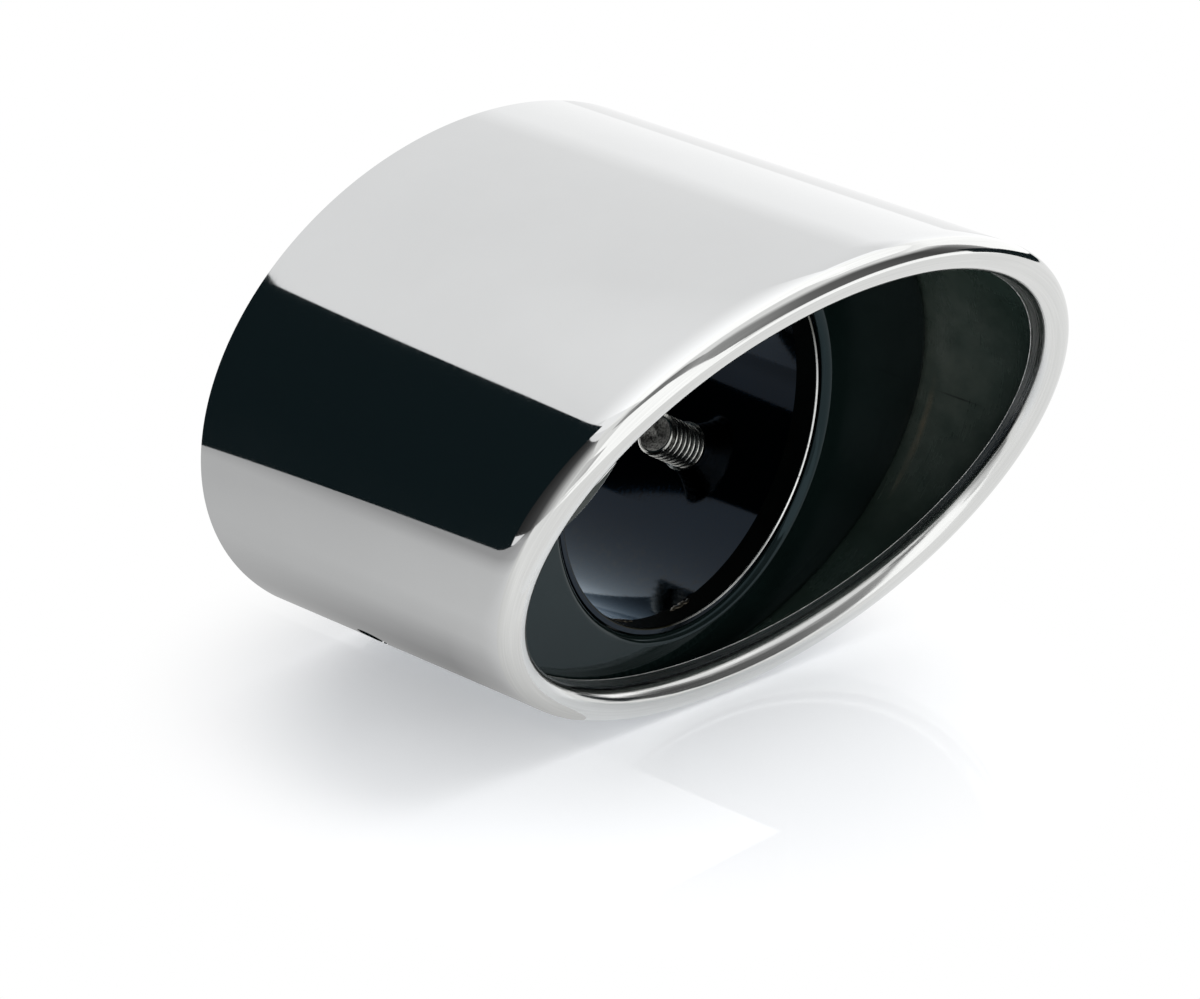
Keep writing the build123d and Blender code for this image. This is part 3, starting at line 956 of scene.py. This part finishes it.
class TIP_OT_welds(bpy.types.Operator):
    """Build the tack welds that hold the sleeve to the collar"""
    bl_idname = "exhaust_tip.welds"
    bl_label = "Build tack welds"
    POINTS, RINGS = 28, 25
    END = 0.985     # where a bead is closed, in half lengths
    SUNK = 0.4      # depth in the wall, in heights

    def execute(self, context):
        sizes, plate, sleeve = context.scene.tip_weld, context.scene.tip_plate, context.scene.tip_sleeve
        skin = Skin()
        bore = sleeve.outside / 2 - sleeve.wall
        cut_at = plate.ahead - plate.collar_depth
        for number, turn in enumerate((sizes.first, sizes.second)):
            self.tack(skin, turn, bore, cut_at - sizes.width * 0.3, sizes, number)
        made = skin.object("tack_welds", [weld_metal(context.scene.tip_finishes)])
        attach(made, "tip")
        return {"FINISHED"}

    def tack(self, skin, turn, bore, ahead, sizes, number):
        """One lumpy bead on the bore, long round the axis, with ripples across it."""
        angles = np.linspace(0, 2 * math.pi, self.POINTS, endpoint=False)
        ahead_part, in_part = np.cos(angles)[:, None], np.sin(angles)[:, None]
        high = np.where(in_part > 0, sizes.height, sizes.height * self.SUNK)
        along = np.array((0.0, -1.0, 0.0))
        rings, outs = [], []
        for part in np.linspace(-self.END, self.END, self.RINGS):
            lump = 1 + 0.10 * math.sin(17 * part + number) + 0.07 * math.sin(31 * part + 2.1 * number)
            size = math.sqrt(1 - part * part) * lump
            here = turn + part * sizes.reach / 2 / bore
            radial = np.array((math.cos(here), 0.0, math.sin(here)))
            wobble = 0.12 * sizes.width * math.sin(9 * part + 3 * number)
            middle = radial * bore + along * (ahead + wobble)
            rings.append(middle + size * (ahead_part * along * sizes.width / 2 - in_part * high * radial))
            outs.append(ahead_part * along - in_part * radial)
        normals = grid_normals(rings, np.array(outs))
        numbers = [skin.ring(points) for points in rings]
        skin.bands(numbers, normals, 0)
        for end in (0, -1):
            skin.face(numbers[end], list(normals[end]), 0)


def sheet(name, corners, columns, material):
    """A piece of the stage, as a net of corners given row by row."""
    rows = len(corners) // columns
    faces = [(k, k + 1, k + 1 + columns, k + columns)
             for k in range((rows - 1) * columns) if (k + 1) % columns]
    mesh = bpy.data.meshes.new(name)
    mesh.from_pydata(corners, [], faces)
    mesh.materials.append(material)
    made = bpy.data.objects.new(name, mesh)
    bpy.context.scene.collection.objects.link(made)
    return made


def card(name, corners, columns, material, glow=None):
    """A card of the stage that only mirrors see. Glow is its brightness at each corner."""
    made = sheet(name, corners, columns, material)
    if glow is not None:
        made.data.attributes.new("glow", "FLOAT", "POINT").data.foreach_set("value", np.array(glow, np.float32))
    made.visible_camera = made.visible_diffuse = made.visible_shadow = made.visible_transmission = False


def level(x_places, y_places, z):
    """Corners of a level sheet, row by row."""
    return [(x, y, z) for y in y_places for x in x_places]


def towards(azimuth, elevation):
    """A direction by its angle to the right of the mouth's and its height, in degrees."""
    a, e = math.radians(azimuth), math.radians(elevation)
    return Vector((math.sin(a) * math.cos(e), -math.cos(a) * math.cos(e), math.sin(e)))


class TIP_OT_stage(bpy.types.Operator):
    """Set the table, the light, the dark cards and the camera"""
    bl_idname = "exhaust_tip.stage"
    bl_label = "Set stage"
    FLOOR = SHELL_LOW.z
    ON_FLOOR = FLOOR + 0.0005       # sheets that lie on the table
    HALF_TABLE = 3.0
    SHADOW_MIDDLE, SHADOW_RANGE = (-0.02, -0.055, FLOOR), (0.043, 0.088)    # where shadows fade into the white
    LAMP_PLACE, LAMP_FAR, LAMP_SIZE = (38.0, 60.0), 1.2, 0.7    # azimuth and elevation, distance, width
    FLAG_FAR = 0.8
    SCREEN_COLUMNS, SCREEN_ROWS = 25, 13
    WHITE = (1, 1, 1)

    def execute(self, context):
        scene, studio = context.scene, context.scene.tip_studio
        scene.view_settings.view_transform = "Standard"
        self.table(studio)
        self.light(scene, studio)
        self.flags(studio)
        self.boxes(studio)
        self.camera(scene, studio)
        return {"FINISHED"}

    def table(self, studio):
        """A white table with a little gloss. It keeps the shadow near the tip and is plain white further out."""
        material, tree, shader = nodes_of("table_white")
        plug(tree, shader, {"Base Color": studio.table, "Specular IOR Level": 0.3,
                            "Roughness": swing(tree, clouds(tree, 9.0, 3.0), 0.03, 0.06)})
        path = add(tree, "ShaderNodeLightPath").outputs
        seen = times(tree, plus(tree, path["Is Camera Ray"], path["Is Glossy Ray"]), studio.fill)
        fill = add(tree, "ShaderNodeEmission", {"Color": (0.94, 0.965, 1), "Strength": seen}).outputs["Emission"]
        lifted = add(tree, "ShaderNodeAddShader", {0: shader.outputs["BSDF"], 1: fill}).outputs["Shader"]
        white = add(tree, "ShaderNodeEmission", {"Color": self.WHITE, "Strength": 1.0}).outputs["Emission"]
        away = add(tree, "ShaderNodeVectorMath", {0: place_of(tree), 1: self.SHADOW_MIDDLE},
                   operation="DISTANCE").outputs["Value"]
        part = remap(tree, away, *self.SHADOW_RANGE, smooth=True)
        mix = add(tree, "ShaderNodeMixShader", {0: part, 1: lifted, 2: white})
        plug(tree, tree.nodes["Material Output"], {"Surface": mix.outputs["Shader"]})
        ends = (-self.HALF_TABLE, self.HALF_TABLE)
        sheet("table", level(ends, ends, self.FLOOR), 2, material)

    def light(self, scene, studio):
        """White all round, and one large soft lamp."""
        world = bpy.data.worlds.new("studio")
        world.use_nodes = True
        tree = world.node_tree
        path = add(tree, "ShaderNodeLightPath").outputs
        seen = plus(tree, path["Is Camera Ray"], plus(tree, path["Is Glossy Ray"], path["Is Transmission Ray"]))
        plug(tree, tree.nodes["Background"], {"Color": self.WHITE,
                                              "Strength": remap(tree, seen, 0.0, 1.0, studio.sky, 1.0)})
        scene.world = world
        lamp = bpy.data.objects.new("key_lamp", bpy.data.lights.new("key_lamp", "AREA"))
        lamp.data.energy, lamp.data.size = studio.key, self.LAMP_SIZE
        lamp.location = towards(*self.LAMP_PLACE) * self.LAMP_FAR
        lamp.rotation_euler = lamp.location.to_track_quat("Z", "Y").to_euler()
        lamp.visible_glossy = False
        scene.collection.objects.link(lamp)

    def flags(self, studio):
        """Dark cards round the table, so that the polished metal has something to mirror."""
        material, tree, shader = nodes_of("flag_black")
        plug(tree, shader, {"Base Color": studio.flag, "Roughness": 1.0, "Specular IOR Level": 0.0})
        tops = ((-0.42, 0.55), (-0.16, 0.242), (-0.104, 0.168), (-0.03, 0.165))
        foot, near, far = self.FLOOR + 0.0006, 0.105, 0.125
        card("flag_behind", [(x, near, foot) for x, top in tops] + [(x, far, self.FLOOR) for x, top in tops]
             + [(x, far, top) for x, top in tops], 4, material)
        left, right = (towards(azimuth, 0.0) * self.FLAG_FAR for azimuth in (52.0, 95.0))
        card("flag_right", [(left.x, left.y, self.FLOOR), (right.x, right.y, self.FLOOR),
                            (left.x, left.y, 0.12), (right.x, right.y, 0.0)], 2, material)

    def boxes(self, studio):
        """Light boxes and grey screens all round, for the mirrored metal alone."""
        material, tree, _ = nodes_of("light_box")
        glow = add(tree, "ShaderNodeAttribute", attribute_name="glow").outputs["Fac"]
        light = add(tree, "ShaderNodeEmission", {"Color": self.WHITE, "Strength": glow})
        plug(tree, tree.nodes["Material Output"], {"Surface": light.outputs["Emission"]})
        bright = studio.box
        screens = [
            ("box_ahead", 1.5, 0.0, [(-49, -4, 50, bright), (-14, -4, 50, bright), (12, -4, 30, bright)]),
            ("screen_ahead", 1.45, 0.3, [(-14, 34, 48, 0.45), (-5, 24, 52, 0.38), (3, 12, 53, 0.35), (12, 5, 50, 0.30),
                                         (24, 1, 46, 0.16), (38, 1, 42, 0.12), (50, 1, 32, 0.08), (58, 1, 30, 0.15),
                                         (66, 1, 30, 0.5)]),
            ("screen_arch", 1.4, 0.0, [(-62, 40, 50, 0.6), (-54, 39, 50, 0.35), (-40, 41, 54, 0.25),
                                       (-25, 40, 55, 0.25), (-12, 32, 48, 0.4)]),
            ("screen_left", 1.45, 0.0, [(-56, 1, 20, 0.8), (-36, 1, 14, 0.65)]),
            ("screen_side", 1.5, 0.0, [(-132, -2, 46, 0.02), (-112, -2, 46, 0.03), (-95, -2, 44, 0.07),
                                       (-80, -2, 42, 0.30), (-68, -2, 34, 0.60), (-58, -2, 26, 0.82)]),
            ("box_left", 1.5, 0.0, [(-122, 48, 66, 1.2), (-70, 50, 66, 1.2)]),
            ("box_right", 1.5, 0.25, [(57, -4, 36, bright), (84, -4, 46, bright), (105, -4, 42, bright),
                                      (125, -4, 25, 1.16), (152, -4, 17, 1.12)]),
            ("box_high", 1.45, 0.2, [(42, 46, 72, bright), (62, 37, 70, bright), (84, 38, 68, bright),
                                     (108, 40, 64, bright)]),
        ]
        for screen in screens:
            self.screen(material, *screen)
        card("box_above", level((-0.45, 0.45), (-0.35, 0.0, 0.48), 0.7), 2, material, [1.5, 1.5, 1.5, 1.5, 1.0, 1.0])
        card("white_sheet", level((-0.5, 1.4), (-1.3, -0.36), self.ON_FLOOR), 2, material, [bright] * 4)
        self.grey_sheets(material)

    def grey_sheets(self, material):
        """What the shell's left side mirrors of the table: its shade as a painted reflection, grey by the place."""
        z = self.ON_FLOOR
        card("far_sheet", [(-1.45, -0.12, z), (-0.45, -0.06, z), (-1.45, 0.30, z), (-0.45, 0.105, z)], 2, material,
             [0.12, 0.48, 0.12, 0.48])
        columns, rows = np.linspace(-0.45, -0.03, 85), np.linspace(-0.10, 0.105, 22)
        places = (-0.22, -0.15, -0.08, -0.065, -0.055, -0.043)
        # Painted shadow: darkest near the tip, where the table lies in its shadow.
        fronts = np.interp(columns, places, (0.53, 0.74, 0.70, 0.60, 0.42, 0.26))
        backs = np.interp(columns, places, (0.41, 0.60, 0.61, 0.62, 0.63, 0.60))
        ends = np.interp(rows, (-0.035, 0.05), (0.0, 1.0))[:, None]
        whites = np.interp(rows, (-0.09, -0.03), (1.0, 0.0))[:, None]
        glow = (fronts + (backs - fronts) * ends) * (1 - whites) + whites
        card("grey_sheet", level(columns, rows, z), len(columns), material, glow.ravel())

    def screen(self, material, name, near, fade, places):
        """A curved screen round the tip, through places from left to right: the azimuth, the elevations of its foot and
        top in degrees, and its brightness. Near is its distance, and fade the part at the top that turns to white."""
        turns, *values = zip(*places)
        columns, rows = np.linspace(turns[0], turns[-1], self.SCREEN_COLUMNS), np.linspace(0, 1, self.SCREEN_ROWS)
        foots, tops, glows = (np.interp(columns, turns, value) for value in values)
        corners = [towards(turn, foot + (top - foot) * row) * near
                   for row in rows for turn, foot, top in zip(columns, foots, tops)]
        parts = np.clip((1 - rows) / fade, 0, 1) if fade else np.ones(self.SCREEN_ROWS)
        card(name, corners, self.SCREEN_COLUMNS, material, [1 + (glow - 1) * part for part in parts for glow in glows])

    def camera(self, scene, studio):
        """A long lens, high on the left of the mouth."""
        camera = bpy.data.objects.new("camera", bpy.data.cameras.new("camera"))
        scene.collection.objects.link(camera)
        place = Vector((-0.6328, -0.5737, 0.3526))
        right, up = Vector((0.66225, -0.74831, 0.03822)), Vector((0.28089, 0.29523, 0.91320))
        turned = Matrix((right, up, right.cross(up))).transposed()
        camera.matrix_world = Matrix.Translation(place) @ turned.to_4x4()
        camera.data.sensor_width = 36.0
        camera.data.lens = studio.lens
        camera.data.clip_start = 0.01
        scene.camera = camera


class TIP_PT_panel(bpy.types.Panel):
    """Sizes, colours and the steps that build the tip"""
    bl_label = "Exhaust tip"
    bl_idname = "TIP_PT_panel"
    bl_space_type = "VIEW_3D"
    bl_region_type = "UI"
    bl_category = "Exhaust tip"

    def draw(self, context):
        for name in GROUPS:
            group = getattr(context.scene, name)
            box = self.layout.box()
            box.label(text=name.replace("tip_", "").capitalize())
            for prop in group.__annotations__:
                box.prop(group, prop)
        for operator in OPERATORS:
            self.layout.operator(operator.bl_idname)


OPERATORS = (TIP_OT_shell, TIP_OT_plate, TIP_OT_sleeve, TIP_OT_screw, TIP_OT_nut, TIP_OT_welds, TIP_OT_stage)
GROUPS = {"tip_shell": ShellSizes, "tip_plate": PlateSizes, "tip_sleeve": SleeveSizes, "tip_screw": ScrewSizes,
          "tip_weld": WeldSizes, "tip_finishes": Finishes, "tip_studio": Studio}
CLASSES = (*GROUPS.values(), *OPERATORS, TIP_PT_panel)


def register():
    """Adds the classes and the scene's settings."""
    for cls in CLASSES:
        bpy.utils.register_class(cls)
    for name, group in GROUPS.items():
        setattr(bpy.types.Scene, name, PointerProperty(type=group))


def unregister():
    """Takes the settings and the classes away."""
    for name in GROUPS:
        delattr(bpy.types.Scene, name)
    for cls in reversed(CLASSES):
        bpy.utils.unregister_class(cls)


def main():
    """Builds the tip and its stage."""
    register()
    bpy.ops.exhaust_tip.shell()
    bpy.ops.exhaust_tip.plate()
    bpy.ops.exhaust_tip.sleeve()
    bpy.ops.exhaust_tip.screw()
    bpy.ops.exhaust_tip.nut()
    bpy.ops.exhaust_tip.welds()
    bpy.ops.exhaust_tip.stage()


if __name__ == "__main__":
    main()
